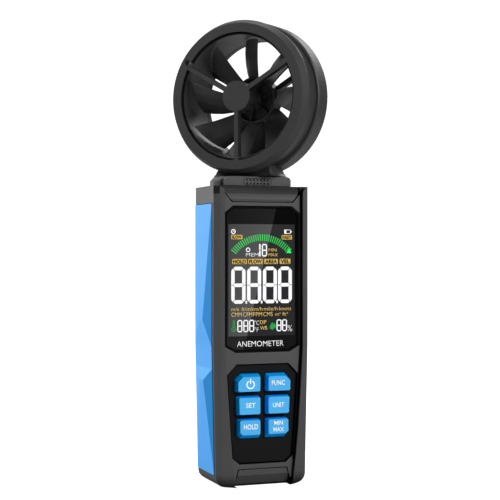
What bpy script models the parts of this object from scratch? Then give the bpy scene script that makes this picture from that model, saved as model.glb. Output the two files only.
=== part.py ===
"""Handheld vane anemometer: a body that is held in one hand, and a head with a vane that turns on top.

Front is -Y, up is +Z, and the head swivels about the vertical axis through the origin.
"""
import math

import bpy
import bmesh
from mathutils import Matrix, Vector

MM = 0.001

# Body
BODY_TOP = 135.1
SIDE_HALF = 22.7
FRONT_EDGE_Y = -14.6
RAIL_Y = -18.8
REAR_EDGE_Y = 11.5
BACK_Y = 15.5
BACK_HALF = 18.0
TROUGH_Y = -13.4
WALL = 2.6
RAIL_IN_Z = (0.0, 0.35, 1.0, 4.0, 10.0, 13.5, 25.0, 38.0, 62.0, 140.0)
RAIL_IN_X = (12.6, 13.4, 14.0, 14.2, 14.9, 15.3, 16.4, 17.3, 18.75, 18.75)
FOOT_R = 6.5
SIDE_FOOT_R = 4.2
GAP = 0.3

# Front plate, window and keypad
PLATE_Y = -16.7
PLATE_BACK_Y = -13.7
WINDOW_FLOOR_Y = -15.5
KEY_FLOOR_Y = -15.7

# Buttons
BUTTON_FACE_Y = -19.0
BUTTON_TRAVEL = 0.9

# Side grips
GRIP_POCKET = 1.2
GRIP_PROUD = 0.25
GRIP_RIDGE = 1.3

# Head
HEAD_Z = 176.0
HEAD_YAW = math.radians(-47.7)
RING_R = 35.0
DUCT_IN = 28.0
DUCT_OUT = 28.7
FACE_A = -13.85
BLADES = 8
BLADE_START = 117.0
TIP_TWIST = 27.0
ROOT_TWIST = 36.0
ROOT_LAG = 5.5
TIP_A = (-8.8, 4.4)
ROOT_A = (3.9, 8.0)
ROOT_R = 10.4
TIP_R = 27.3
SPOKE_ANGLES = (30.0, 150.0, 270.0)

for old in list(bpy.data.objects):
    bpy.data.objects.remove(old)

MATERIALS = {
    "housing_plastic": (0.075, 0.075, 0.078, 0.45, 0.0),
    "plate_plastic": (0.07, 0.07, 0.073, 0.42, 0.0),
    "grip_blue": (0.08, 0.42, 0.85, 0.5, 0.0),
    "button_blue": (0.06, 0.36, 0.85, 0.5, 0.0),
    "black_plastic": (0.02, 0.02, 0.022, 0.5, 0.0),
    "lens": (0.01, 0.01, 0.012, 0.08, 0.0),
    "rubber": (0.018, 0.018, 0.018, 0.75, 0.0),
    "board": (0.02, 0.12, 0.05, 0.5, 0.0),
    "steel": (0.55, 0.55, 0.56, 0.3, 1.0),
    "brass": (0.75, 0.55, 0.25, 0.3, 1.0),
    "cell": (0.25, 0.26, 0.28, 0.35, 0.6),
    "magnet": (0.2, 0.2, 0.2, 0.35, 0.9),
}


def lerp(value, xs, ys):
    """Straight-line reading of a table."""
    if value <= xs[0]:
        return ys[0]
    for i in range(1, len(xs)):
        if value <= xs[i]:
            share = (value - xs[i - 1]) / (xs[i] - xs[i - 1])
            return ys[i - 1] + share * (ys[i] - ys[i - 1])
    return ys[-1]


def material(name, kind):
    red, green, blue, rough, metal = MATERIALS[kind]
    made = bpy.data.materials.new("m_" + name)
    made.use_nodes = True
    shader = made.node_tree.nodes["Principled BSDF"]
    shader.inputs["Base Color"].default_value = (red, green, blue, 1.0)
    shader.inputs["Roughness"].default_value = rough
    shader.inputs["Metallic"].default_value = metal
    made.diffuse_color = (red, green, blue, 1.0)
    return made


def new_object(name, points, faces, kind=None, origin=(0.0, 0.0, 0.0), smooth=None):
    """A mesh object from points in millimetres, with its origin where it turns or slides."""
    mesh = bpy.data.meshes.new(name)
    shift = Vector(origin)
    mesh.from_pydata([tuple((Vector(p) - shift) * MM) for p in points], [], faces)
    work = bmesh.new()
    work.from_mesh(mesh)
    bmesh.ops.recalc_face_normals(work, faces=work.faces)
    work.to_mesh(mesh)
    work.free()
    made = bpy.data.objects.new(name, mesh)
    bpy.context.scene.collection.objects.link(made)
    made.location = shift * MM
    if kind:
        mesh.materials.append(material(name, kind))
    if smooth:
        mesh.shade_smooth()
        mesh.set_sharp_from_angle(angle=math.radians(smooth))
    return made


def loft(sections):
    """Points and faces of a closed body through sections with equal numbers of points."""
    count = len(sections[0])
    points = [p for section in sections for p in section]
    faces = []
    for level in range(len(sections) - 1):
        for i in range(count):
            j = (i + 1) % count
            low = level * count
            faces.append((low + i, low + j, low + count + j, low + count + i))
    faces.append(tuple(range(count)))
    faces.append(tuple(range((len(sections) - 1) * count, len(sections) * count)))
    return points, faces


def prism(outline, axis, low, high):
    """A straight body: the outline lies across the axis, in the order of the other two axes."""
    sections = []
    for level in (low, high):
        if axis == "Z":
            sections.append([(u, v, level) for u, v in outline])
        elif axis == "Y":
            sections.append([(u, level, v) for u, v in outline])
        else:
            sections.append([(level, u, v) for u, v in outline])
    return loft(sections)


def box(low, high):
    outline = [(low[0], low[1]), (high[0], low[1]), (high[0], high[1]), (low[0], high[1])]
    return prism(outline, "Z", low[2], high[2])


def circle(radius, count, centre=(0.0, 0.0)):
    turn = 2 * math.pi / count
    return [
        (centre[0] + radius * math.cos(i * turn), centre[1] + radius * math.sin(i * turn))
        for i in range(count)
    ]


def turned(profile, count, closed=True):
    """A turned body from (radius, along) pairs; along is the Z of a frame that the caller places."""
    points = []
    for i in range(count):
        turn = 2 * math.pi * i / count
        points += [(r * math.cos(turn), r * math.sin(turn), a) for r, a in profile]
    size = len(profile)
    faces = []
    for i in range(count):
        j = (i + 1) % count
        for k in range(size if closed else size - 1):
            n = (k + 1) % size
            faces.append((i * size + k, j * size + k, j * size + n, i * size + n))
    if not closed:
        faces.append(tuple(i * size for i in range(count)))
        faces.append(tuple(i * size + size - 1 for i in range(count)))
    return points, faces


def in_head(shape):
    """From the head's own frame (x right, y up, z to the rear) to the world."""
    points, faces = shape
    side = Vector((math.cos(HEAD_YAW), math.sin(HEAD_YAW), 0.0))
    rear = Vector((-math.sin(HEAD_YAW), math.cos(HEAD_YAW), 0.0))
    up = Vector((0.0, 0.0, 1.0))
    placed = [side * x + up * (y + HEAD_Z) + rear * z for x, y, z in points]
    return [tuple(p) for p in placed], faces


def moved(shape, offset):
    points, faces = shape
    return [tuple(Vector(p) + Vector(offset)) for p in points], faces


def spun(shape, degrees):
    """Turned about the head frame's axis."""
    points, faces = shape
    turn = Matrix.Rotation(math.radians(degrees), 3, "Z")
    return [tuple(turn @ Vector(p)) for p in points], faces


def combine(target, shape, operation, solver="EXACT"):
    """One Boolean with a hidden operand."""
    made = new_object(target.name + "_op" + str(len(target.modifiers)), shape[0], shape[1])
    made.hide_render = True
    made.display_type = "WIRE"
    step = target.modifiers.new("bool" + str(len(target.modifiers)), "BOOLEAN")
    step.operation = operation
    step.solver = solver
    step.object = made
    return made


def cut(target, *shapes):
    for shape in shapes:
        combine(target, shape, "DIFFERENCE")


def add(target, *shapes):
    for shape in shapes:
        combine(target, shape, "UNION")


# ---------------------------------------------------------------- body shell
def rail_in(z):
    return lerp(z, RAIL_IN_Z, RAIL_IN_X)


def side_half(z):
    return lerp(z, (0.0, 5.0, 62.0), (21.4, 21.5, SIDE_HALF))


def bottom_inset(z, radius):
    """Rounding where the sides meet the base."""
    if z >= radius:
        return 0.0
    return radius - math.sqrt(radius * radius - (radius - z) ** 2)


def body_section(z):
    side = side_half(z) - bottom_inset(z, SIDE_FOOT_R)
    front = min(side_half(z) - 1.8 - bottom_inset(z, FOOT_R), 20.9)
    base = lerp(z, (0.0, 5.8), (0.45, 0.0))
    rail = rail_in(z)
    y_rail = RAIL_Y + base
    half = [
        (rail, TROUGH_Y),
        (rail, y_rail),
        (front, y_rail + 0.3),
        (side, FRONT_EDGE_Y),
        (side, REAR_EDGE_Y),
        (min(BACK_HALF, side - 3.0), BACK_Y - base),
    ]
    left = [(-x, y, z) for x, y in half]
    right = [(x, y, z) for x, y in reversed(half)]
    return left + right


levels = (0.0, 0.35, 1.0, 2.5, 4.0, 5.8, 10.0, 13.5, 25.0, 38.0, 62.0, BODY_TOP)
housing = new_object("rear_housing", *loft([body_section(z) for z in levels]), "housing_plastic")


def cavity_section(z):
    half = side_half(z) - WALL
    return [(-half, -12.0, z), (half, -12.0, z), (half, 10.8, z), (half - 3.0, 13.0, z),
            (3.0 - half, 13.0, z), (-half, 10.8, z)]


def trough_opening(z):
    half = rail_in(z) - 1.4
    return [(-half, -14.0, z), (half, -14.0, z), (half, -11.5, z), (-half, -11.5, z)]


cut(housing, loft([cavity_section(z) for z in (3.2, 62.0, 132.4)]))
cut(housing, loft([trough_opening(z) for z in (6.0, 13.5, 25.0, 38.0, 62.0, 126.0)]))

# Dark notches at the tops of the rails
for sign in (-1.0, 1.0):
    notch = [(22.3, 136.0), (22.3, 135.0), (20.4, 134.4), (19.2, 133.4), (18.6, 132.0), (17.9, 131.4),
             (17.9, 136.0)]
    cut(housing, prism([(sign * x, z) for x, z in notch], "Y", -20.0, -14.4))

# Battery opening and the seat of its door
DOOR = (14.2, 14.3, 69.7)
DOOR_HINGE = (0.0, 14.75, 15.05)
cut(housing, box((-14.5, 13.6, 13.6), (14.5, 17.0, 70.0)))
cut(housing, box((-13.0, 12.5, 16.4), (13.0, 14.0, 68.0)))
cut(housing, prism(circle(0.75, 10, (14.75, 15.05)), "X", -15.6, 15.6))
# Swivel bore through the roof, tripod insert hole in the base, screw holes in the back
SPIGOT_R = 4.0
cut(housing, prism(circle(SPIGOT_R + 1.9, 24), "Z", 131.0, 137.0))
TRIPOD_R = 4.0
cut(housing, prism(circle(TRIPOD_R + 0.3, 20, (0.0, 6.5)), "Z", -1.0, 4.5))
SCREWS = [(-16.0, 8.0), (16.0, 8.0), (-15.6, 126.0), (15.6, 126.0)]
for x, z in SCREWS:
    cut(housing, prism(circle(2.0, 14, (x, z)), "Y", 12.0, 17.0))

# Pockets of the side grips
GRIP_Z0, GRIP_Z1 = 5.2, 127.0
GRIP_F, GRIP_B = -12.5, 11.5


for sign in (-1.0, 1.0):
    sections = []
    for z in (GRIP_Z0 - GAP, 62.0, GRIP_Z1 + GAP):
        x = side_half(z)
        sections.append([(sign * (x - GRIP_POCKET), GRIP_F - GAP, z), (sign * (x + 3.0), GRIP_F - GAP, z),
                         (sign * (x + 3.0), GRIP_B + GAP, z), (sign * (x - GRIP_POCKET), GRIP_B + GAP, z)])
    cut(housing, loft(sections))

# ---------------------------------------------------------------- side grips
APEX_UP, APEX_LOW = 74.4, 47.2
WAIST_UP, WAIST_LOW = 62.8, 52.9
MID_F, MID_B = -3.2, 2.3


def grip(sign, name):
    """A facetted strip: corners flush, ridges at the two apexes, a flat waist between."""
    def at(y, z, h):
        return (sign * (side_half(z) + GRIP_PROUD + h), y, z)

    def inner(y, z):
        return (sign * (side_half(z) - GRIP_POCKET + GAP), y, z)

    outer = [
        at(GRIP_F, GRIP_Z1, 0.0), at(GRIP_B, GRIP_Z1, 0.0),
        at(MID_F, APEX_UP, GRIP_RIDGE), at(MID_B, APEX_UP, GRIP_RIDGE),
        at(GRIP_F, WAIST_UP, 0.0), at(GRIP_B, WAIST_UP, 0.0),
        at(GRIP_F, WAIST_LOW, 0.0), at(GRIP_B, WAIST_LOW, 0.0),
        at(MID_F, APEX_LOW, GRIP_RIDGE), at(MID_B, APEX_LOW, GRIP_RIDGE),
        at(GRIP_F, GRIP_Z0, 0.0), at(GRIP_B, GRIP_Z0, 0.0),
    ]
    back = [inner(y, z) for z in (GRIP_Z1, WAIST_UP, WAIST_LOW, GRIP_Z0) for y in (GRIP_F, GRIP_B)]
    points = outer + back
    faces = [
        (0, 1, 3, 2), (0, 2, 4), (1, 5, 3), (2, 3, 5, 4), (4, 5, 7, 6), (6, 7, 9, 8),
        (6, 8, 10), (7, 11, 9), (8, 9, 11, 10),
        (12, 14, 15, 13), (14, 16, 17, 15), (16, 18, 19, 17),
        (0, 12, 13, 1), (10, 11, 19, 18),
        (0, 4, 14, 12), (4, 6, 16, 14), (6, 10, 18, 16),
        (1, 13, 15, 5), (5, 15, 17, 7), (7, 17, 19, 11),
    ]
    return new_object(name, points, faces, "grip_blue")


grip(-1.0, "side_grip_left")
grip(1.0, "side_grip_right")

# ---------------------------------------------------------------- front plate
plate_right = [
    (13.2, 3.0), (13.85, 3.0), (14.6, 10.0), (15.0, 13.5), (16.1, 25.0), (17.0, 38.0), (18.45, 62.0),
    (18.45, 131.4), (17.7, 131.2), (16.9, 130.2), (15.8, 128.9), (14.7, 127.6),
]
plate_outline = plate_right + [(-x, z) for x, z in reversed(plate_right)]
plate_outline += [(-11.85, 8.0), (11.85, 8.0)]
plate = new_object("front_plate", *prism(plate_outline, "Y", PLATE_Y, PLATE_BACK_Y), "plate_plastic")


def window_outline(inset, y):
    half = 18.1 - inset
    corner = inset * 0.41
    right = [(13.0 - corner, 60.0 + inset), (half, 62.9 + corner), (half, 123.0 - corner),
             (14.2 - corner, 126.2 - inset)]
    ring = [(-x, z) for x, z in right] + [(x, z) for x, z in reversed(right)]
    return [(x, y, z) for x, z in ring]


cut(plate, loft([window_outline(-0.1, PLATE_Y - 0.1), window_outline(1.1, WINDOW_FLOOR_Y),
                 window_outline(1.1, -14.2)]))
cut(plate, box((-15.6, -15.0, 64.5), (15.6, -12.0, 121.5)))


def key_outline(inset, y):
    right = [(11.0 - inset * 0.4, 10.0 + inset), (14.5 - inset, 12.9 + inset * 0.4), (15.4 - inset, 25.0),
             (16.3 - inset, 38.0), (17.05 - inset, 50.2 - inset * 0.4), (12.5 - inset * 0.4, 55.0 - inset)]
    ring = [(-x, z) for x, z in right] + [(x, z) for x, z in reversed(right)]
    return [(x, y, z) for x, z in ring]


cut(plate, loft([
    key_outline(-0.05, PLATE_Y - 0.1), key_outline(0.35, KEY_FLOOR_Y), key_outline(0.35, -14.4),
]))
cut(plate, loft([key_outline(1.6, -14.9), key_outline(1.6, -12.0)]))

# Lens, display module, keypad panel
def lens_outline(y):
    return window_outline(1.35, y)


new_object("display_window", *loft([lens_outline(WINDOW_FLOOR_Y), lens_outline(-14.5)]), "lens")
new_object("lcd_module", *box((-15.2, -14.1, 65.0), (15.2, -11.8, 121.0)), "black_plastic")

panel_rings = [key_outline(0.65, KEY_FLOOR_Y), key_outline(0.65, -14.7)]
panel = new_object("keypad_panel", *loft(panel_rings), "rubber")

# ---------------------------------------------------------------- buttons
ROWS = ((42.6, 50.6, 42.78, 49.45), (32.2, 40.6, 32.55, 40.18), (21.7, 30.4, 23.37, 30.1))
OUTER = (12.53, 12.1, 11.6)
NAMES = (("power", "func"), ("set", "unit"), ("hold", "min_max"))
INNER = 1.92


def key_shape(sign, row, y, grow, top):
    """Outline of one key: at the top face, or at its foot."""
    if top:
        z0, z1 = ROWS[row][2], ROWS[row][3]
        x0, x1 = INNER, OUTER[row]
    else:
        z0, z1 = ROWS[row][0] - grow, ROWS[row][1] + grow
        x0, x1 = INNER - 0.5 - grow, OUTER[row] + 0.5 + grow
    soft = 0.5
    high = (2.3 if row == 0 else soft) if top else (2.6 if row == 0 else soft)
    low = (1.2 if row == 2 else soft) if top else (1.7 if row == 2 else soft)
    lean = 0.25 if row == 1 else 0.0
    ring = [(x0 + soft, z0), (x1 - low - lean, z0), (x1 - lean, z0 + low), (x1, z1 - high), (x1 - high, z1),
            (x0 + soft, z1), (x0, z1 - soft), (x0, z0 + soft)]
    return [(sign * x, y, z) for x, z in ring]


for row in range(3):
    for column, sign in enumerate((-1.0, 1.0)):
        z_mid = 0.5 * (ROWS[row][0] + ROWS[row][1])
        x_mid = sign * 0.5 * (INNER + OUTER[row])
        cut(panel, loft([key_shape(sign, row, y, 0.32, False) for y in (-17.0, -12.0)]))
        shape = loft([
            key_shape(sign, row, -13.2, 0.6, False),
            key_shape(sign, row, -13.9, 0.6, False),
            key_shape(sign, row, -13.9, 0.0, False),
            key_shape(sign, row, -16.0, 0.0, False),
            key_shape(sign, row, BUTTON_FACE_Y + 0.25, 0.0, True),
            [(x * 0.985 + x_mid * 0.015, y - 0.25, z * 0.97 + z_mid * 0.03)
             for x, y, z in key_shape(sign, row, BUTTON_FACE_Y + 0.25, 0.0, True)],
        ])
        new_object("button_" + NAMES[row][column], *shape, "button_blue", origin=(x_mid, -17.0, z_mid))

# Dome sheet, boards, and the parts on them
new_object("dome_sheet", *box((-12.0, -11.9, 19.0), (12.0, -11.6, 52.5)), "black_plastic")
new_object("main_board", *box((-15.0, -11.2, 9.0), (15.0, -9.6, 126.0)), "board")
new_object("buzzer", *prism(circle(5.5, 20, (8.0, 100.0)), "Y", -9.3, -5.5), "black_plastic")
new_object("controller_chip", *box((-9.0, -9.3, 92.0), (0.0, -8.1, 101.0)), "black_plastic")

# ---------------------------------------------------------------- top and bottom inserts
TOP_Z = (127.9, 129.0, 130.2, 131.5, 132.8, 134.0)
TOP_X = (14.2, 15.2, 16.3, 17.2, 17.8, 18.2)
TOP_FRONT = (-16.7, -16.65, -16.4, -15.9, -15.1, -14.1)
top = new_object("top_insert", *loft([
    [(-x, y, z), (x, y, z), (x, -13.7, z), (-x, -13.7, z)] for z, x, y in zip(TOP_Z, TOP_X, TOP_FRONT)
]), "plate_plastic", smooth=40)

foot = [(-16.7, 7.6), (-16.7, 5.1), (-13.75, 0.9), (-13.75, 7.6)]
FOOT_HALF, FOOT_FLARE = 11.4, 0.27
new_object("bottom_insert", *loft([
    [(sign * (FOOT_HALF + (7.6 - z) * FOOT_FLARE), y, z) for y, z in foot] for sign in (-1.0, 1.0)
]), "plate_plastic")

# ---------------------------------------------------------------- battery door, cells, contacts
door = new_object("battery_door", *box((-DOOR[0], 14.0, DOOR[1]), (DOOR[0], 15.5, DOOR[2])),
                  "housing_plastic", origin=DOOR_HINGE)
add(door, prism(circle(0.42, 10, (14.75, 15.05)), "X", -15.1, 15.1))
for i in range(5):
    z = 58.0 + i * 2.0
    cut(door, box((-6.0, 15.1, z), (6.0, 16.0, z + 0.9)))

CELL_R = 5.2
CELL_Y = 6.6
for i in range(3):
    x = -11.1 + i * 11.1
    profile = [(0.6, 0.0), (CELL_R, 0.0), (CELL_R, 43.4), (2.0, 43.4), (2.0, 44.4), (0.6, 44.4)]
    shape = turned(profile, 20, closed=False)
    if i == 1:
        shape = [(p[0], p[1], 44.4 - p[2]) for p in shape[0]], shape[1]
    new_object("battery_cell_" + str(i + 1), *moved(shape, (x, CELL_Y, 19.6)), "cell", smooth=40)
new_object("contact_plate_bottom", *box((-16.2, 2.6, 18.4), (16.2, 10.6, 19.0)), "steel")
new_object("contact_plate_top", *box((-16.2, 2.6, 64.6), (16.2, 10.6, 65.2)), "steel")
for index, (x, z) in enumerate(SCREWS):
    screw = new_object("housing_screw_" + str(index + 1),
                       *prism(circle(1.6, 12, (x, z)), "Y", 12.4, 15.0), "steel")
    cut(screw, box((x - 1.1, 14.3, z - 0.25), (x + 1.1, 16.0, z + 0.25)))
new_object("tripod_insert", *moved(turned([(3.0, 0.3), (TRIPOD_R, 0.3), (TRIPOD_R, 8.0), (3.0, 8.0)], 20),
                                   (0.0, 6.5, 0.0)), "brass", smooth=40)

# ---------------------------------------------------------------- swivel base and sensor bar
BASE_Z0, BASE_Z1 = 135.4, 139.65
base = new_object("swivel_base", *turned([
    (SPIGOT_R + 0.35, BASE_Z0), (18.6, BASE_Z0), (18.6, 137.9), (16.9, BASE_Z1), (SPIGOT_R + 0.35, BASE_Z1),
], 64), "housing_plastic", smooth=30)
cut(base, box((-25.0, -25.0, 130.0), (25.0, -7.3, 142.0)))
cut(base, box((-25.0, 15.2, 130.0), (25.0, 25.0, 142.0)))
add(base, moved(turned([(SPIGOT_R + 0.35, 131.6), (SPIGOT_R + 1.5, 131.6), (SPIGOT_R + 1.5, 136.0),
                        (SPIGOT_R + 0.35, 136.0)], 24), (0.0, 0.0, 0.0)))

bar_half = [(15.9, BASE_Z0), (15.9, 138.2), (15.2, 139.2), (14.2, 139.6)]
bar_outline = bar_half + [(-x, z) for x, z in reversed(bar_half)]
bar = new_object("sensor_bar", *prism(bar_outline, "Y", -10.9, -7.6), "black_plastic")
cut(bar, box((-15.0, -9.3, 135.0), (15.0, -7.0, 138.9)))
for column in range(7):
    for z in (136.35, 138.0):
        cut(bar, prism(circle(0.42, 8, (-5.4 + 1.67 * column, z)), "Y", -12.0, -8.0))
new_object("sensor_board", *box((-9.0, -8.7, 135.7), (9.0, -8.0, 138.6)), "board")

# ---------------------------------------------------------------- head frame: duct, neck and spigot
frame = new_object("head_frame", *in_head(turned([
    (DUCT_IN, -12.7), (DUCT_OUT, -12.7), (DUCT_OUT, -9.5), (33.6, -9.5), (33.6, -0.4), (34.8, -0.4),
    (35.3, 0.3), (35.4, 8.6), (DUCT_IN, 8.6),
], 96)), "black_plastic", smooth=25)


def neck_section(z, half, depth):
    """Corners cut a little; the section lies in the head's own frame."""
    side = Vector((math.cos(HEAD_YAW), math.sin(HEAD_YAW), 0.0))
    rear = Vector((-math.sin(HEAD_YAW), math.cos(HEAD_YAW), 0.0))
    c = 0.8
    ring = [(half - c, -depth), (half, c - depth), (half, depth - c), (half - c, depth),
            (c - half, depth), (-half, depth - c), (-half, c - depth), (c - half, -depth)]
    return [tuple(side * u + rear * v + Vector((0.0, 0.0, z))) for u, v in ring]


neck = loft([neck_section(z, h, t) for z, h, t in (
    (140.0, 15.5, 7.8), (141.0, 14.8, 7.2), (143.5, 13.8, 6.3), (145.0, 13.2, 5.6))])
add(frame, neck)
spigot = [(1.2, 129.0), (SPIGOT_R, 129.0), (SPIGOT_R, 130.0), (3.4, 130.0), (3.4, 131.0), (SPIGOT_R, 131.0),
          (SPIGOT_R, 142.0), (1.2, 142.0)]
add(frame, turned(spigot, 28))
# Keep the duct clear inside where the neck comes up
clear_bore = [(0.5, -14.5), (DUCT_IN, -14.5), (DUCT_IN, 10.0), (0.5, 10.0)]
cut(frame, in_head(turned(clear_bore, 96, closed=False)))

new_object("friction_washer", *turned([
    (SPIGOT_R + 0.3, 139.72), (8.0, 139.72), (8.0, 139.93), (SPIGOT_R + 0.3, 139.93),
], 28), "rubber", smooth=40)
new_object("retaining_ring", *turned([
    (3.7, 130.2), (5.6, 130.2), (5.6, 130.8), (3.7, 130.8),
], 24), "steel", smooth=40)

# ---------------------------------------------------------------- front guard
guard = new_object("front_guard", *in_head(turned([
    (29.1, FACE_A), (33.24, FACE_A), (RING_R, -10.45), (RING_R, -9.8), (29.1, -9.8),
], 96)), "black_plastic", smooth=25)
for angle in SPOKE_ANGLES:
    spoke = [(5.9, -1.0, -10.65), (27.5, -1.0, -10.65), (27.5, -1.0, -13.1), (29.8, -1.0, -13.1),
             (29.8, -1.0, FACE_A + 0.03), (5.9, -1.0, FACE_A + 0.03)]
    add(guard, in_head(spun(loft([spoke, [(x, 1.0, z) for x, y, z in spoke]]), angle)))
add(guard, in_head(turned([
    (0.05, FACE_A), (6.92, FACE_A), (6.92, -5.5), (6.6, -5.2), (3.3, -5.2), (3.3, -12.9), (0.05, -12.9),
], 48, closed=False)))
# A small round snap beside the upper left spoke
SNAP_TURN = 146.8
snap_hole = turned([(0.05, -14.4), (1.3, -14.4), (1.3, -13.0), (0.05, -13.0)], 14, closed=False)
cut(guard, in_head(spun(moved(snap_hole, (30.7, 0.0, 0.0)), SNAP_TURN)))
snap_pip = turned([
    (0.05, -12.9), (1.2, -12.9), (1.2, -13.9), (0.8, -14.2), (0.05, -14.3),
], 16, closed=False)
add(guard, in_head(spun(moved(snap_pip, (28.4, 0.0, 0.0)), SNAP_TURN)))

# ---------------------------------------------------------------- rear guard
rear_guard = new_object("rear_guard", *in_head(turned([
    (DUCT_IN, 8.9), (35.1, 8.9), (33.3, 12.2), (DUCT_IN, 12.2),
], 96)), "black_plastic", smooth=25)
for angle in SPOKE_ANGLES:
    add(rear_guard, in_head(spun(box((6.0, -1.2, 9.1), (28.5, 1.2, 12.1)), angle)))
add(rear_guard, in_head(turned([
    (0.05, 12.3), (10.0, 12.3), (10.6, 11.7), (10.6, 8.9), (3.3, 8.9), (3.3, 11.0), (0.05, 11.0),
], 40, closed=False)))

# ---------------------------------------------------------------- impeller
HUB_CENTRE = (0.0, 0.0, HEAD_Z)
impeller = new_object("impeller", *in_head(turned([
    (1.15, 5.6), (4.15, 5.6), (4.15, 6.6), (9.8, 6.6), (9.8, 4.0), (10.35, 3.6), (10.95, 4.1),
    (10.95, 8.0), (10.5, 8.35), (1.15, 8.35),
], 48)), "black_plastic", origin=HUB_CENTRE, smooth=30)
for index in range(6):
    add(impeller, in_head(spun(box((3.9, -0.4, 5.0), (10.1, 0.4, 7.0)), 15.0 + index * 60.0)))


def blade(start):
    """A swept, twisted blade: its root on the hub wall at the rear, its tip reaching towards the front."""
    radii = (ROOT_R, 14.0, 18.5, 23.0, TIP_R)
    steps = 5
    shell = []
    for r in radii:
        share = (r - ROOT_R) / (TIP_R - ROOT_R)
        front = ROOT_A[0] + (TIP_A[0] - ROOT_A[0]) * share
        back = ROOT_A[1] + (TIP_A[1] - ROOT_A[1]) * share
        twist = ROOT_TWIST + (TIP_TWIST - ROOT_TWIST) * share
        first = start + ROOT_LAG * (1.0 - share)
        slope = math.radians(twist) * r / (back - front)
        size = math.hypot(1.0, slope)
        across, straight = slope / size, 1.0 / size
        curve = []
        for i in range(steps):
            t = i / (steps - 1)
            angle = math.radians(first + twist * (t + 0.12 * math.sin(math.pi * t)))
            curve.append((angle, front + (back - front) * t))
        ring = [(angle + 0.33 * straight / r, along - 0.33 * across) for angle, along in curve]
        ring += [(angle - 0.33 * straight / r, along + 0.33 * across) for angle, along in reversed(curve)]
        shell.append([(r * math.cos(a), r * math.sin(a), z) for a, z in ring])
    return loft(shell)


for index in range(BLADES):
    add(impeller, in_head(blade(BLADE_START + index * 360.0 / BLADES)))

new_object("vane_shaft", *in_head(turned([
    (0.25, -12.6), (0.8, -12.6), (0.8, 10.7), (0.25, 10.7),
], 16, closed=False)), "steel", origin=HUB_CENTRE, smooth=40)
for label, low in (("front", -12.6), ("rear", 9.2)):
    new_object("bearing_" + label, *in_head(turned([
        (1.1, low), (3.0, low), (3.0, low + 1.4), (1.1, low + 1.4),
    ], 24)), "steel", smooth=40)
new_object("magnet_disc", *in_head(turned([(1.4, 4.4), (3.6, 4.4), (3.6, 5.3), (1.4, 5.3)], 24)), "magnet",
           origin=HUB_CENTRE, smooth=40)
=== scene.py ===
"""The look of the vane anemometer: materials, printed legends and the display, round the CAD frame."""

import math

import bmesh
import bpy
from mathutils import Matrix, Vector


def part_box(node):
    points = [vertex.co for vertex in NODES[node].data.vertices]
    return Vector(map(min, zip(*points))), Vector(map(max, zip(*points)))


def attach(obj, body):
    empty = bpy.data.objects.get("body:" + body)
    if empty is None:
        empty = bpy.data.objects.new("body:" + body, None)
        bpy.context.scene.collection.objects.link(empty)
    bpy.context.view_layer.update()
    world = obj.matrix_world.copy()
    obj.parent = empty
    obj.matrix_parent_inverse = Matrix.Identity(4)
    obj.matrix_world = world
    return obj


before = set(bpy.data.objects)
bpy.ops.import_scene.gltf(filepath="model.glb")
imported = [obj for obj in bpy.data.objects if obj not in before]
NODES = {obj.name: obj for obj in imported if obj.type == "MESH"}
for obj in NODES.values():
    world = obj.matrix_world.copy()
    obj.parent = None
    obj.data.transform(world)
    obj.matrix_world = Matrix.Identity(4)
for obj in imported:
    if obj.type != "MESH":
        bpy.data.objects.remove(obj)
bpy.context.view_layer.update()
MM = 0.001


def linear(value):
    """An sRGB level from 0 to 255 as a linear share."""
    share = value / 255.0
    return share / 12.92 if share <= 0.04045 else ((share + 0.055) / 1.055) ** 2.4


def rgb(*levels):
    """A colour from its three sRGB levels."""
    return tuple(linear(v) for v in levels) + (1.0,)


# ---------------------------------------------------------------- node helpers and masks
# Each mask is a share from 0 to 1, from a node's own coordinates at rest, in millimetres.
X_AXIS = (1.0, 0.0, 0.0)
Y_AXIS = (0.0, 1.0, 0.0)
Z_AXIS = (0.0, 0.0, 1.0)
HEAD_YAW = math.radians(-47.7)
HEAD_SIDE = (math.cos(HEAD_YAW), math.sin(HEAD_YAW), 0.0)
HEAD_REAR = (-math.sin(HEAD_YAW), math.cos(HEAD_YAW), 0.0)
HEAD_Z = 176.0


def maths(tree, operation, first, second=0.0, third=None):
    """One math node; each input is a number or a socket."""
    made = tree.nodes.new("ShaderNodeMath")
    made.operation = operation
    for index, value in enumerate((first, second, third)):
        if value is None:
            continue
        if isinstance(value, (int, float)):
            made.inputs[index].default_value = value
        else:
            tree.links.new(value, made.inputs[index])
    return made.outputs["Value"]


def noise(tree, place, scale, detail):
    """Noise over the coordinates in metres."""
    made = tree.nodes.new("ShaderNodeTexNoise")
    made.inputs["Scale"].default_value = scale
    made.inputs["Detail"].default_value = detail
    tree.links.new(place, made.inputs["Vector"])
    return made


def mixed(tree, share, first, second, blend="MIX"):
    """A mix of two colours; each is a colour or a socket."""
    made = tree.nodes.new("ShaderNodeMix")
    made.data_type = "RGBA"
    made.blend_type = blend
    for socket, value in (("Factor", share), ("A", first), ("B", second)):
        if isinstance(value, (tuple, float)):
            made.inputs[socket].default_value = value
        else:
            tree.links.new(value, made.inputs[socket])
    return made.outputs["Result"]


def ranged(tree, value, to_min, to_max, from_min=0.0, from_max=1.0):
    """A value carried from one range to another, held at its ends."""
    made = tree.nodes.new("ShaderNodeMapRange")
    made.inputs["From Min"].default_value = from_min
    made.inputs["From Max"].default_value = from_max
    made.inputs["To Min"].default_value = to_min
    made.inputs["To Max"].default_value = to_max
    tree.links.new(value, made.inputs["Value"])
    return made.outputs["Result"]


def dotted(tree, first, second):
    """The dot product of a socket with a direction or another socket."""
    made = tree.nodes.new("ShaderNodeVectorMath")
    made.operation = "DOT_PRODUCT"
    tree.links.new(first, made.inputs[0])
    if isinstance(second, tuple):
        made.inputs[1].default_value = second
    else:
        tree.links.new(second, made.inputs[1])
    return made.outputs["Value"]


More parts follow.
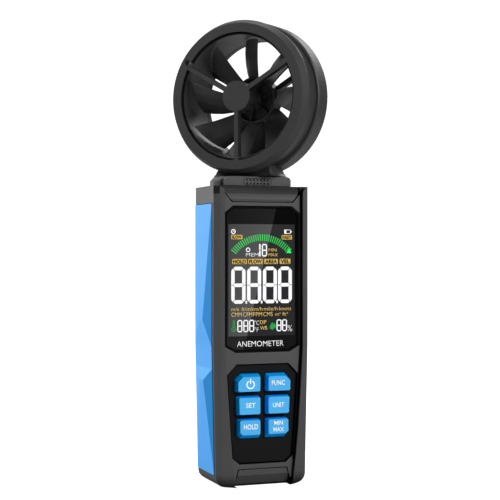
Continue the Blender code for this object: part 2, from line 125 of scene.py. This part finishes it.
def along(tree, place, axis, offset=0.0):
    """How far a point lies along an axis, in millimetres."""
    return maths(tree, "ADD", dotted(tree, place, tuple(1000.0 * v for v in axis)), offset)


def over(tree, value, level, blur=0.06):
    """1 where the value is above the level."""
    return ranged(tree, maths(tree, "SUBTRACT", value, level), 0.0, 1.0, -blur, blur)


def under(tree, value, level, blur=0.06):
    """1 where the value is below the level."""
    return maths(tree, "SUBTRACT", 1.0, over(tree, value, level, blur))


def between(tree, value, low, high):
    """1 where the value lies between two levels."""
    return maths(tree, "MULTIPLY", over(tree, value, low), under(tree, value, high))


def head_radius(tree, place):
    """How far a point lies from the duct's axis."""
    across = along(tree, place, HEAD_SIDE)
    up = along(tree, place, Z_AXIS, -HEAD_Z)
    squares = maths(tree, "ADD", maths(tree, "MULTIPLY", across, across), maths(tree, "MULTIPLY", up, up))
    return maths(tree, "SQRT", squares)


# The rails' inner edge runs outward from the foot as RAIL_FOOT + RAIL_SLOPE * z, up to RAIL_TOP
RAIL_FOOT = 14.0
RAIL_SLOPE = 0.106
RAIL_TOP = 18.95
NOTCH_Z = 131.3
FOOT_SHADE_Z = 3.6
FOOT_SHADE_BLUR = 2.2
FOOT_SHADE = 0.9


def shell_shadow(tree, place):
    """The channel between the rails, the notches at the rails' tops, and the shade at the foot."""
    x = maths(tree, "ABSOLUTE", along(tree, place, X_AXIS))
    y = along(tree, place, Y_AXIS)
    z = along(tree, place, Z_AXIS)
    rail_inner = maths(tree, "MINIMUM", maths(tree, "MULTIPLY_ADD", z, RAIL_SLOPE, RAIL_FOOT), RAIL_TOP)
    inward = over(tree, maths(tree, "SUBTRACT", rail_inner, x), 0.0)
    channel = maths(tree, "MULTIPLY", between(tree, y, -17.9, -13.2), inward)
    notch = maths(tree, "MULTIPLY", between(tree, y, -18.45, -14.2), over(tree, z, NOTCH_Z))
    foot = maths(tree, "MULTIPLY", under(tree, z, FOOT_SHADE_Z, FOOT_SHADE_BLUR), FOOT_SHADE)
    return maths(tree, "MAXIMUM", maths(tree, "MAXIMUM", channel, notch), foot)


# The strip begins at STRIP_FOOT + STRIP_SLOPE * z, up to STRIP_TOP
STRIP_FOOT = 13.45
STRIP_SLOPE = 0.0697
STRIP_TOP = 18.0
STRIP_Z = 11.5
PLATE_WALL_Y = -16.55


def plate_shadow(tree, place):
    """The walls of the openings, and the narrow strip that lies in the right rail's shade."""
    x = along(tree, place, X_AXIS)
    z = along(tree, place, Z_AXIS)
    strip_inner = maths(tree, "MINIMUM", maths(tree, "MULTIPLY_ADD", z, STRIP_SLOPE, STRIP_FOOT), STRIP_TOP)
    strip = over(tree, maths(tree, "SUBTRACT", x, strip_inner), 0.0, 0.15)
    low = maths(tree, "MULTIPLY", strip, over(tree, z, STRIP_Z, 1.0))
    return maths(tree, "MAXIMUM", over(tree, along(tree, place, Y_AXIS), PLATE_WALL_Y), low)


def duct_shadow(tree, place):
    """The dark line just inside the bezel."""
    return under(tree, along(tree, place, HEAD_REAR), -12.55)


def round_hollow(tree, place, radius, front, share):
    """Nearer the duct's axis than the radius, and behind the front."""
    inside = under(tree, head_radius(tree, place), radius)
    behind = over(tree, along(tree, place, HEAD_REAR), front)
    return maths(tree, "MULTIPLY", maths(tree, "MULTIPLY", inside, behind), share)


def guard_shadow(tree, place):
    """The sides of the spokes and of the hub, behind the bezel's face."""
    return round_hollow(tree, place, 29.15, -13.6, 0.72)


def cup_shadow(tree, place):
    """The inside of the hub's cup."""
    return round_hollow(tree, place, 10.1, 3.7, 0.75)


# ---------------------------------------------------------------- materials
EDGE_RADIUS = 0.00022
# Near black, laid on as painted shade wherever a shadow mask lies
PAINTED_SHADE = (0.0012, 0.0012, 0.0013, 1.0)


def new_material(name, specular=None):
    """A material, its node tree, its Principled shader, and its own coordinates."""
    made = bpy.data.materials.new(name)
    made.use_nodes = True
    tree = made.node_tree
    shader = tree.nodes["Principled BSDF"]
    if specular is not None:
        shader.inputs["Specular IOR Level"].default_value = specular
    place = tree.nodes.new("ShaderNodeTexCoord").outputs["Object"]
    return made, tree, shader, place


def raised(tree, height, strength, distance, normal=None):
    """A bump from a height."""
    made = tree.nodes.new("ShaderNodeBump")
    made.inputs["Strength"].default_value = strength
    made.inputs["Distance"].default_value = distance
    tree.links.new(height, made.inputs["Height"])
    if normal:
        tree.links.new(normal, made.inputs["Normal"])
    return made.outputs["Normal"]


def scaled(colour, share, add=0.0):
    """A colour times a share, no part above 1."""
    return tuple(min(1.0, c * share + add) for c in colour[:3]) + (1.0,)


def moulded(name, colour, rough=0.5, grain=0.0004, bump=0.12, specular=0.35, edge_highlight=0.25, mottle=0.12,
            shadow=None, facet_shading=None):
    """Moulded plastic or rubber: spark-eroded grain, uneven gloss, and a painted highlight that makes the
    edges a little lighter.
    """
    made, tree, shader, place = new_material(name, specular)
    fine = noise(tree, place, 1.0 / grain, 2.0)
    fine.inputs["Roughness"].default_value = 0.6
    broad = noise(tree, place, 55.0, 4.0).outputs["Fac"]

    # Painted highlight along the edges, from the turn between the true normal and a softened one
    bevel = tree.nodes.new("ShaderNodeBevel")
    bevel.samples = 4
    bevel.inputs["Radius"].default_value = EDGE_RADIUS
    true_normal = tree.nodes.new("ShaderNodeNewGeometry").outputs["True Normal"]
    level = dotted(tree, bevel.outputs["Normal"], true_normal)
    edge = ranged(tree, level, 0.0, edge_highlight, 0.999, 0.86)

    tone = mixed(tree, broad, scaled(colour, 1.0 - mottle), scaled(colour, 1.0 + mottle))
    # Painted highlight: the edges take a lighter copy of the colour
    tone = mixed(tree, edge, tone, scaled(colour, 1.9, 0.02))
    # Painted light and shade: each face is tinted by how far it turns toward the front, as the lamps would
    # light it
    if facet_shading:
        sideways, forward, start, stop = facet_shading
        turned = ranged(tree, dotted(tree, true_normal, (0.0, -1.0, 0.0)), 0.0, 1.0, start, stop)
        tone = mixed(tree, 1.0, tone, mixed(tree, turned, sideways, forward), "MULTIPLY")
    # Painted shade: where the mask lies, the colour turns near black
    if shadow:
        tone = mixed(tree, shadow(tree, place), tone, PAINTED_SHADE)
    tree.links.new(tone, shader.inputs["Base Color"])
    tree.links.new(ranged(tree, broad, rough - 0.07, rough + 0.07), shader.inputs["Roughness"])
    relief = raised(tree, fine.outputs["Fac"], bump, 0.00008, bevel.outputs["Normal"])
    tree.links.new(relief, shader.inputs["Normal"])
    return made


def metal(name, colour, rough=0.3, brushed=900.0):
    """Turned or brushed metal, with fine lines and small changes of gloss."""
    made, tree, shader, place = new_material(name)
    shader.inputs["Metallic"].default_value = 1.0
    stretch = tree.nodes.new("ShaderNodeMapping")
    stretch.inputs["Scale"].default_value = (brushed, brushed, brushed * 0.05)
    tree.links.new(place, stretch.inputs["Vector"])
    lines = noise(tree, stretch.outputs["Vector"], 1.0, 3.0).outputs["Fac"]
    tree.links.new(mixed(tree, lines, scaled(colour, 0.8), colour), shader.inputs["Base Color"])
    tree.links.new(ranged(tree, lines, rough - 0.08, rough + 0.12), shader.inputs["Roughness"])
    tree.links.new(raised(tree, lines, 0.06, 0.00005), shader.inputs["Normal"])
    return made


# The slanting line that bounds the painted reflection runs across the window from SLANT_FOOT at its foot to
# SLANT_HEAD at its head
SLANT_FOOT = -8.6
SLANT_HEAD = 6.9
SLANT_FADE = 26.0


def glass_with_painted_reflection(name, dark, lit, rough, specular):
    """Black glass or display field, with a painted reflection of a studio panel: a paler area left of a
    slanting line.
    """
    made, tree, shader, place = new_material(name, specular)
    low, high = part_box("display_window")
    line = ranged(tree, along(tree, place, Z_AXIS), SLANT_FOOT, SLANT_HEAD, low[2] * 1000.0, high[2] * 1000.0)
    side = maths(tree, "SUBTRACT", line, along(tree, place, X_AXIS))
    fade = ranged(tree, side, 1.0, 0.45, 0.0, SLANT_FADE)
    painted_reflection = maths(tree, "MULTIPLY", over(tree, side, 0.0, 0.15), fade)
    film = noise(tree, place, 120.0, 5.0).outputs["Fac"]
    tree.links.new(ranged(tree, film, rough, rough + 0.08), shader.inputs["Roughness"])
    tree.links.new(mixed(tree, painted_reflection, dark, lit), shader.inputs["Base Color"])
    return made


def printed(name, colour, glow=0.0):
    """Ink or lit segment, with the slight unevenness of print; a glow on ink is a painted glow."""
    made, tree, shader, place = new_material(name, 0.25)
    shader.inputs["Roughness"].default_value = 0.35
    spots = noise(tree, place, 2600.0, 1.0).outputs["Fac"]
    tone = mixed(tree, spots, scaled(colour, 0.9), colour)
    tree.links.new(tone, shader.inputs["Base Color"])
    if glow:
        tree.links.new(tone, shader.inputs["Emission Color"])
        shader.inputs["Emission Strength"].default_value = glow
    return made


GREY = (0.060, 0.060, 0.062, 1.0)
BLACK = (0.020, 0.020, 0.0215, 1.0)
looks = {
    "shell": moulded("shell_grain", GREY, rough=0.46, edge_highlight=0.22, specular=0.22, shadow=shell_shadow),
    "plate": moulded("plate_grain", (0.066, 0.066, 0.068, 1.0), rough=0.42, edge_highlight=0.2, specular=0.25),
    "plate_cut": moulded("plate_grain_cut", (0.078, 0.078, 0.080, 1.0), rough=0.42, edge_highlight=0.2,
                         specular=0.15, shadow=plate_shadow),
    # The top insert: a darker copy of the plate's plastic, painted shade for faces that turn up and forward
    # into the lamps
    "insert": moulded("insert_grain_painted_shade", (0.032, 0.032, 0.033, 1.0), rough=0.42, edge_highlight=0.2, specular=0.2),
    "ring": moulded("ring_grain", (0.04, 0.04, 0.041, 1.0), rough=0.5, edge_highlight=0.25, specular=0.22),
    "bezel": moulded("bezel_grain", (0.04, 0.04, 0.041, 1.0), rough=0.5, edge_highlight=0.25, specular=0.22,
                     shadow=guard_shadow),
    "duct": moulded("duct_grain", (0.03, 0.03, 0.031, 1.0), rough=0.45, edge_highlight=0.2, shadow=duct_shadow),
    "vane": moulded("vane_grain", (0.055, 0.055, 0.057, 1.0), rough=0.48, edge_highlight=0.3, bump=0.06,
                    shadow=cup_shadow),
    # Grips and keys: their lighter and darker faces are painted light and shade
    "grip": moulded("grip_rubber", (0.025, 0.33, 0.84, 1.0), rough=0.45, specular=0.14, grain=0.0005,
                    bump=0.16, edge_highlight=0.12, mottle=0.05,
                    facet_shading=((2.8, 1.22, 1.14, 1.0), (0.0, 0.72, 0.76, 1.0), 0.0, 0.12)),
    "key": moulded("key_rubber", (0.078, 0.48, 0.93, 1.0), rough=0.5, specular=0.2, grain=0.0006,
                   bump=0.05, edge_highlight=0.2, mottle=0.04,
                   facet_shading=((0.0, 0.76, 1.07, 1.0), (1.0, 1.0, 1.0, 1.0), 0.6, 0.97)),
    "keypad": moulded("keypad_rubber", (0.006, 0.006, 0.006, 1.0), rough=0.6, edge_highlight=0.15, specular=0.1),
    "black": moulded("inner_black", BLACK, rough=0.5),
    "board": moulded("board_green", (0.01, 0.09, 0.04, 1.0), rough=0.35, grain=0.0008, edge_highlight=0.1),
    "steel": metal("steel_brushed", (0.62, 0.62, 0.64, 1.0)),
    "brass": metal("brass_turned", (0.72, 0.5, 0.2, 1.0), rough=0.26),
    "cell": metal("cell_sleeve", (0.16, 0.17, 0.2, 1.0), rough=0.34, brushed=300.0),
    # The window's black glass, with a painted reflection
    "window": glass_with_painted_reflection("window_black", rgb(6, 6, 7), rgb(34, 34, 35), 0.08, 0.12),
}
WHITE = printed("segment_white", (0.84, 0.84, 0.85, 1.0), glow=0.35)
AMBER = printed("segment_amber", rgb(220, 184, 92), glow=0.5)
BADGE = printed("badge_amber", rgb(206, 172, 84), glow=0.2)
GREEN = printed("segment_green", rgb(30, 205, 80), glow=0.95)
DEEP_GREEN = printed("mark_green", rgb(24, 160, 66), glow=0.2)
# White ink for the key legends and the window's word, with a painted glow
GLOWING_INK = printed("legend_white", (0.9, 0.9, 0.9, 1.0), glow=0.3)
DARK_INK = printed("badge_letters", rgb(12, 9, 3))
# The display field, with the same painted reflection
FIELD = glass_with_painted_reflection("display_field", rgb(36, 36, 38), rgb(84, 84, 85), 0.3, 0.12)

# Screws, shaft, bearings and contact plates aren't listed: they are steel
LOOK_OF = {
    "rear_housing": "shell", "battery_door": "shell", "swivel_base": "plate", "front_plate": "plate_cut",
    "top_insert": "insert", "bottom_insert": "plate", "sensor_bar": "plate", "magnet_disc": "black",
    "side_grip_left": "grip", "side_grip_right": "grip", "display_window": "window",
    "keypad_panel": "keypad", "head_frame": "duct",
    "front_guard": "bezel", "rear_guard": "ring", "impeller": "vane", "main_board": "board",
    "sensor_board": "board", "tripod_insert": "brass", "friction_washer": "keypad", "lcd_module": "black",
    "dome_sheet": "black", "buzzer": "black", "controller_chip": "black",
}
for node_name, node in NODES.items():
    look = LOOK_OF.get(node_name)
    if look is None:
        if node_name.startswith("button_"):
            look = "key"
        elif node_name.startswith("battery_cell"):
            look = "cell"
        else:
            look = "steel"
    if node.data.materials:
        for index in range(len(node.data.materials)):
            node.data.materials[index] = looks[look]
    else:
        node.data.materials.append(looks[look])

# ---------------------------------------------------------------- printed and lit pieces
WINDOW_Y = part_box("display_window")[0][1]
INK_LIFT = 0.00001
INK_DEEP = 0.00003


def piece(name, made_mesh, look, body):
    """A new object that rides on a body, with the given material."""
    made = bpy.data.objects.new(name, made_mesh)
    bpy.context.scene.collection.objects.link(made)
    made.data.materials.append(look)
    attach(made, body)
    return made


def plates(name, shapes, look, body, y, lift=INK_LIFT, deep=INK_DEEP):
    """Thin flat pieces in one mesh: each shape is an outline of (x, z) in millimetres."""
    work = bmesh.new()
    for outline in shapes:
        front = [work.verts.new((x * MM, y - lift - deep, z * MM)) for x, z in outline]
        back = [work.verts.new((x * MM, y - lift, z * MM)) for x, z in outline]
        work.faces.new(front)
        work.faces.new(list(reversed(back)))
        count = len(outline)
        for i in range(count):
            j = (i + 1) % count
            work.faces.new((front[i], back[i], back[j], front[j]))
    bmesh.ops.recalc_face_normals(work, faces=work.faces)
    made_mesh = bpy.data.meshes.new(name)
    work.to_mesh(made_mesh)
    work.free()
    return piece(name, made_mesh, look, body)


def on_circle(cx, cz, radius, degrees):
    """The point on a circle at an angle counted anticlockwise from the right."""
    turn = math.radians(degrees)
    return cx + radius * math.cos(turn), cz + radius * math.sin(turn)


def rect(x0, z0, x1, z1, corner=0.0):
    """A rectangle's outline, with round corners if asked."""
    if not corner:
        return [(x0, z0), (x1, z0), (x1, z1), (x0, z1)]
    ring = []
    for cx, cz, start in ((x1 - corner, z0 + corner, -90), (x1 - corner, z1 - corner, 0),
                          (x0 + corner, z1 - corner, 90), (x0 + corner, z0 + corner, 180)):
        for step in range(5):
            ring.append(on_circle(cx, cz, corner, start + step * 22.5))
    return ring


def arc_band(cx, cz, r0, r1, a0, a1, steps=16):
    """The outline between two radii, from one angle to another."""
    turns = [a0 + (a1 - a0) * i / steps for i in range(steps + 1)]
    outer = [on_circle(cx, cz, r1, turn) for turn in turns]
    inner = [on_circle(cx, cz, r0, turn) for turn in reversed(turns)]
    return outer + inner


def seven(x0, z0, wide, high, stroke, gap=0.12):
    """The seven segments of one digit showing an eight, with rounded-off outer corners."""
    s = stroke
    m = 0.5 * stroke
    h = 0.5 * high
    left = s + gap
    right = wide - s - gap
    tip = s * 0.55 + gap
    top = [(left, high), (right, high), (wide - tip, high - s * 0.45), (right, high - s),
           (left, high - s), (tip, high - s * 0.45)]
    bottom = [(x, high - z) for x, z in top]
    middle_tip = m * 0.9 + gap
    middle = [(middle_tip, h), (left, h + m), (right, h + m), (wide - middle_tip, h), (right, h - m),
              (left, h - m)]
    lowest = h + gap * 0.6
    upper_left = [(0, lowest), (m * 0.9, lowest), (s, lowest + m), (s, high - s - gap),
                  (s * 0.5, high - s * 0.5), (0.15 * s, high - s * 0.9), (0, high - s * 1.25)]
    segments = [top, bottom, middle]
    for side in (False, True):
        for flipped in (False, True):
            shape = [(x, high - z) if flipped else (x, z) for x, z in upper_left]
            segments.append([(wide - x, z) if side else (x, z) for x, z in shape])
    return [[(x0 + x, z0 + z) for x, z in shape] for shape in segments]


# Height of a capital letter in type of size 1
CAP_HEIGHT = 0.729


def words(name, text, x0, z0, high, look, body, y, wide=None, bold=0.0, centre=False, lift=INK_LIFT):
    """Text as a flat raised print; x0 and z0 are its lower left corner, in millimetres."""
    curve = bpy.data.curves.new(name, "FONT")
    curve.body = text
    curve.size = 1.0
    curve.extrude = 0.0
    curve.offset = bold
    curve.fill_mode = "FRONT"
    curve.resolution_u = 4
    made = bpy.data.objects.new(name, curve)
    bpy.context.scene.collection.objects.link(made)
    bpy.context.view_layer.update()
    flat = bpy.data.meshes.new_from_object(made.evaluated_get(bpy.context.evaluated_depsgraph_get()))
    bpy.data.objects.remove(made)
    xs = [v.co.x for v in flat.vertices]
    ys = [v.co.y for v in flat.vertices]
    cap = CAP_HEIGHT if any(ch.isupper() or ch.isdigit() or ch in "/hkft" for ch in text) else max(ys)
    scale_z = high / cap
    scale_x = (wide / (max(xs) - min(xs))) if wide else scale_z
    shift = x0 - min(xs) * scale_x
    if centre:
        shift = x0 - 0.5 * (max(xs) + min(xs)) * scale_x
    for v in flat.vertices:
        v.co = Vector(((v.co.x * scale_x + shift) * MM, y - lift, (v.co.y * scale_z + z0) * MM))
    work = bmesh.new()
    work.from_mesh(flat)
    result = bmesh.ops.extrude_face_region(work, geom=list(work.faces))
    moved = [item for item in result["geom"] if isinstance(item, bmesh.types.BMVert)]
    bmesh.ops.translate(work, verts=moved, vec=(0.0, -INK_DEEP, 0.0))
    bmesh.ops.recalc_face_normals(work, faces=work.faces)
    solid = bpy.data.meshes.new(name)
    work.to_mesh(solid)
    work.free()
    bpy.data.meshes.remove(flat)
    return piece(name, solid, look, body)


# The display's own field, a shade lighter than the window's black border
plates("lcd_field", [rect(-15.95, 67.5, 15.95, 117.8)], FIELD, "body", WINDOW_Y, 0.0, 0.000006)

# The four large digits, with their points
DIGIT_X = (-14.62, -7.10, 0.49, 7.80)
POINT_X = (-7.85, -0.5, 6.98)
DIGIT_Z = 82.1
large = []
for x in DIGIT_X:
    large += seven(x, DIGIT_Z, 6.8, 16.6, 1.62, gap=0.17)
for x in POINT_X:
    large.append(rect(x, DIGIT_Z, x + 0.8, DIGIT_Z + 1.3))
plates("lcd_large_digits", large, WHITE, "body", WINDOW_Y)

small = []
for x in (-11.75, -8.9, -6.1):
    small += seven(x, 69.3, 2.45, 5.5, 0.55, gap=0.05)
for x in (7.1, 9.8):
    small += seven(x, 69.35, 2.45, 5.4, 0.55, gap=0.05)
small += seven(-0.05, 103.25, 2.6, 5.7, 0.58, gap=0.05)
small += [rect(-1.3, 103.3, -0.6, 105.95), rect(-1.3, 106.2, -0.6, 108.9)]
# The memory mark: a ring
small += [arc_band(-6.6, 106.3, 0.62, 1.05, 0, 360, 20)]
# A clock, and a battery
small += [arc_band(-13.6, 114.45, 0.72, 1.12, 0, 360, 24), rect(-13.72, 114.3, -13.42, 115.0),
          rect(-13.72, 114.3, -13.1, 114.55)]
small += [rect(10.85, 113.6, 11.9, 115.45), rect(11.9, 113.6, 14.0, 113.85), rect(11.9, 115.2, 14.0, 115.45),
          rect(13.75, 113.85, 14.0, 115.2), rect(14.0, 114.15, 14.5, 114.9)]
plates("lcd_small_digits", small, WHITE, "body", WINDOW_Y)

# The green speed scale: an arc of bars, ending in a pointer
ARC_CX, ARC_CZ = 0.0, 94.6
ARC_INNER, ARC_OUTER = 15.75, 18.7
ARC_FROM, ARC_TO = 141.0, 40.5
BAR_COUNT = 30
BAR_HALF = 0.46
bars = []
for i in range(BAR_COUNT):
    turn = ARC_FROM - i * (ARC_FROM - ARC_TO) / (BAR_COUNT - 1)
    low_half = BAR_HALF * 0.96
    bars.append([
        on_circle(ARC_CX, ARC_CZ, ARC_INNER, turn - low_half),
        on_circle(ARC_CX, ARC_CZ, ARC_INNER, turn + low_half),
        on_circle(ARC_CX, ARC_CZ, ARC_OUTER, turn + BAR_HALF),
        on_circle(ARC_CX, ARC_CZ, ARC_OUTER, turn - BAR_HALF),
    ])
plates("lcd_scale_bars", bars, GREEN, "body", WINDOW_Y)
pointer = [(13.5, 107.0), (14.35, 104.75), (11.9, 104.95)]
plates("lcd_scale_pointer", [pointer], GREEN, "body", WINDOW_Y)

# Green thermometer and drops
thermo = [arc_band(-13.4, 70.6, 0.78, 1.12, 0, 360, 20), rect(-13.88, 71.6, -13.58, 74.2),
          rect(-13.22, 71.6, -12.92, 74.2), arc_band(-13.4, 74.2, 0.2, 0.5, 0, 180, 10),
          arc_band(-13.4, 70.6, 0.0, 0.4, 0, 350, 12)]
drops = []
for cx, cz, r in ((5.0, 71.3, 1.15), (6.15, 71.7, 0.75)):
    shape = [(cx, cz + 2.0 * r)]
    for i in range(13):
        shape.append(on_circle(cx, cz, r, 35 - i * 250 / 12))
    drops.append(shape)
plates("lcd_green_marks", thermo + [drops[0]], DEEP_GREEN, "body", WINDOW_Y)
plates("lcd_drop_small", [drops[1]], DEEP_GREEN, "body", WINDOW_Y, 0.000045)

# Amber badges with dark letters
BADGES = (("SLOW", -14.7, 111.05, -9.3, 113.0), ("FAST", 9.6, 110.95, 14.65, 113.0),
          ("HOLD", -14.15, 99.9, -7.25, 102.2), ("FLOW", -6.5, 99.9, 0.35, 102.2),
          ("AREA", 1.2, 99.9, 7.75, 102.2), ("VEL", 8.65, 99.9, 13.9, 102.25))
badge_plates = [rect(x0, z0, x1, z1, 0.3) for _, x0, z0, x1, z1 in BADGES]
plates("lcd_badges", badge_plates, BADGE, "body", WINDOW_Y)
MARGIN_X, MARGIN_Z = 0.4, 0.3
for text, x0, z0, x1, z1 in BADGES:
    words("badge_" + text.lower(), text, x0 + MARGIN_X, z0 + MARGIN_Z, z1 - z0 - 2 * MARGIN_Z, DARK_INK,
          "body", WINDOW_Y, wide=x1 - x0 - 2 * MARGIN_X, bold=0.04, lift=0.00005)

# Each word: its text, left, foot, right and head
for index, (text, x0, z0, x1, z1, look) in enumerate((
        ("MIN", 3.25, 105.55, 7.1, 107.0, AMBER), ("MAX", 3.25, 103.3, 7.75, 104.85, AMBER),
        ("MEM", -7.65, 103.3, -1.6, 105.0, WHITE),
        ("m/s", -14.55, 78.85, -11.0, 80.6, AMBER), ("ft/m", -9.7, 78.85, -5.5, 80.6, AMBER),
        ("km/h", -4.9, 78.85, 0.3, 80.6, AMBER), ("mile/h", 1.0, 78.85, 7.6, 80.6, AMBER),
        ("knots", 8.4, 78.85, 14.2, 80.6, AMBER),
        ("CMM", -14.5, 76.3, -9.7, 78.3, AMBER), ("CFM", -9.0, 76.3, -4.6, 78.3, AMBER),
        ("FPM", -4.1, 76.3, 0.1, 78.3, AMBER), ("CMS", 0.7, 76.3, 5.2, 78.3, AMBER),
        ("m²", 6.5, 76.4, 9.1, 78.1, AMBER), ("ft²", 10.0, 76.4, 12.7, 78.1, AMBER),
        ("°C", -3.5, 72.4, -1.35, 74.5, WHITE), ("°F", -3.5, 69.3, -1.55, 71.4, WHITE),
        ("DP", -0.85, 72.8, 2.15, 74.6, AMBER), ("WB", -0.8, 70.2, 2.6, 72.0, AMBER),
        ("%", 12.45, 69.25, 14.75, 72.0, WHITE))):
    words("lcd_word_%02d" % index, text, x0, z0, z1 - z0, look, "body", WINDOW_Y, wide=x1 - x0,
          bold=-0.008)

words("window_word", "ANEMOMETER", -11.9, 62.75, 2.6, GLOWING_INK, "body", WINDOW_Y, wide=22.4, bold=-0.006)

# ---------------------------------------------------------------- outline of the sensor's slot
SOOT = printed("slot_black", rgb(3, 3, 3))
outer_ring = rect(-7.3, 135.62, 6.6, 138.85, 1.55)
inner_ring = rect(-7.02, 135.9, 6.32, 138.57, 1.28)
slot_line = []
for index in range(len(outer_ring)):
    after = (index + 1) % len(outer_ring)
    slot_line.append([outer_ring[index], outer_ring[after], inner_ring[after], inner_ring[index]])
plates("sensor_slot_line", slot_line, SOOT, "body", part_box("sensor_bar")[0][1])

# ---------------------------------------------------------------- legends on the keys
# Each line of a legend: its text, how far it lies right of and above the key's middle, its width and height
KEY_WORDS = {
    "button_func": (("FUNC", -0.6, -0.7, 6.3, 2.2),),
    "button_set": (("SET", 0.4, -0.75, 4.5, 2.2),),
    "button_unit": (("UNIT", -0.3, -1.0, 5.4, 2.2),),
    "button_hold": (("HOLD", 0.25, -0.9, 6.7, 2.3),),
    "button_min_max": (("MIN", 0.0, 0.5, 4.2, 2.0), ("MAX", 0.0, -2.4, 5.0, 2.0)),
}
KEY_MIDDLE_Z = {
    "button_power": 46.1, "button_func": 46.1, "button_set": 36.4,
    "button_unit": 36.4, "button_hold": 26.9, "button_min_max": 26.9,
}


def key_middle(key):
    """The middle of a key's box across, in millimetres."""
    low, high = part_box(key)
    return (low[0] + high[0]) * 500.0


for key, lines in KEY_WORDS.items():
    for row, (text, dx, dz, wide, tall) in enumerate(lines):
        words("legend_%s_%d" % (key[7:], row), text, key_middle(key) + dx, KEY_MIDDLE_Z[key] + dz, tall, GLOWING_INK,
              key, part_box(key)[0][1], wide=wide, bold=0.008, centre=True)
middle = key_middle("button_power") + 0.55
face_z = KEY_MIDDLE_Z["button_power"] + 0.1
plates("legend_power", [arc_band(middle, face_z - 0.2, 1.5, 2.0, 118, 422, 28),
                        rect(middle - 0.26, face_z + 0.2, middle + 0.26, face_z + 2.4, 0.12)],
       GLOWING_INK, "button_power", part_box("button_power")[0][1])

# ---------------------------------------------------------------- floor, lights and camera
VIEW_YAW = math.radians(-20.0)
PAPER = (0.45, 0.45, 0.45, 1.0)
PAPER_GLOW = 0.95


def backdrop(name):
    """Pale paper: seen almost evenly white, and giving little light back to the object."""
    made, tree, shader, place = new_material(name, 0.1)
    shader.inputs["Roughness"].default_value = 0.9
    speck = noise(tree, place, 30.0, 2.0).outputs["Fac"]
    tone = mixed(tree, speck, scaled(PAPER, 0.978), scaled(PAPER, 1.022))
    tree.links.new(tone, shader.inputs["Base Color"])
    shader.inputs["Emission Color"].default_value = (1.0, 1.0, 1.0, 1.0)
    seen = tree.nodes.new("ShaderNodeLightPath").outputs["Is Camera Ray"]
    tree.links.new(maths(tree, "MULTIPLY", seen, PAPER_GLOW), shader.inputs["Emission Strength"])
    return made


floor_mesh = bpy.data.meshes.new("studio_floor")
sweep = bmesh.new()
ROOM = 3.0
ROOM_HIGH = 3.2
FLOOR_GAP = 0.0002
BEND_Y, BEND_R = 1.6, 0.7
profile = [(-ROOM, 0.0)]
for i in range(13):
    turn = math.radians(i * 7.5)
    profile.append((BEND_Y + BEND_R * math.sin(turn), BEND_R - BEND_R * math.cos(turn)))
profile.append((BEND_Y + BEND_R, ROOM_HIGH))
left_row = [sweep.verts.new((-ROOM, y, z - FLOOR_GAP)) for y, z in profile]
right_row = [sweep.verts.new((ROOM, y, z - FLOOR_GAP)) for y, z in profile]
for i in range(len(profile) - 1):
    sweep.faces.new((left_row[i], right_row[i], right_row[i + 1], left_row[i + 1]))
sweep.to_mesh(floor_mesh)
sweep.free()
for polygon in floor_mesh.polygons:
    polygon.use_smooth = True
floor = bpy.data.objects.new("studio_floor", floor_mesh)
floor.data.materials.append(backdrop("studio_white"))
bpy.context.scene.collection.objects.link(floor)
floor.rotation_euler = (0.0, 0.0, VIEW_YAW)

AIM = Vector((0.0, 0.0, 0.11))


def soft_light(name, place, wide, tall, power):
    """A soft box aimed at the object's middle."""
    data = bpy.data.lights.new(name, "AREA")
    data.shape = "RECTANGLE"
    data.size = wide
    data.size_y = tall
    data.energy = power
    made = bpy.data.objects.new(name, data)
    made.location = place
    made.rotation_mode = "QUATERNION"
    made.rotation_quaternion = (Vector(place) - AIM).to_track_quat("Z", "Y")
    bpy.context.scene.collection.objects.link(made)


soft_light("light_top", (0.0, 0.35, 1.4), 0.9, 0.9, 9.0)
soft_light("light_left", (-0.42, 1.12, 0.42), 0.36, 1.1, 4.0)
soft_light("light_side", (-0.85, 0.3, 0.95), 0.5, 0.5, 12.0)
soft_light("light_front", (0.55, -1.15, 0.75), 0.5, 0.8, 15.0)
soft_light("light_right", (0.9, 0.85, 0.75), 0.5, 0.6, 4.0)

world = bpy.data.worlds.new("studio_world")
world.use_nodes = True
bpy.context.scene.world = world
tree = world.node_tree
back = tree.nodes["Background"]
back.inputs["Color"].default_value = (1.0, 1.0, 1.0, 1.0)
back.inputs["Strength"].default_value = 0.15
seen = tree.nodes.new("ShaderNodeBackground")
seen.inputs["Color"].default_value = (1.0, 1.0, 1.0, 1.0)
seen.inputs["Strength"].default_value = 1.0
which = tree.nodes.new("ShaderNodeLightPath")
both = tree.nodes.new("ShaderNodeMixShader")
tree.links.new(which.outputs["Is Camera Ray"], both.inputs["Fac"])
tree.links.new(back.outputs["Background"], both.inputs[1])
tree.links.new(seen.outputs["Background"], both.inputs[2])
tree.links.new(both.outputs["Shader"], tree.nodes["World Output"].inputs["Surface"])
bpy.context.scene.view_settings.view_transform = "Standard"

lens = bpy.data.cameras.new("camera")
lens.lens = 91.3
lens.sensor_width = 36.0
lens.clip_start = 0.01
lens.clip_end = 20.0
camera = bpy.data.objects.new("camera", lens)
camera.location = (-0.2008, -0.5516, 0.1062)
camera.rotation_euler = (math.radians(90.0), 0.0, VIEW_YAW)
bpy.context.scene.collection.objects.link(camera)
bpy.context.scene.camera = camera
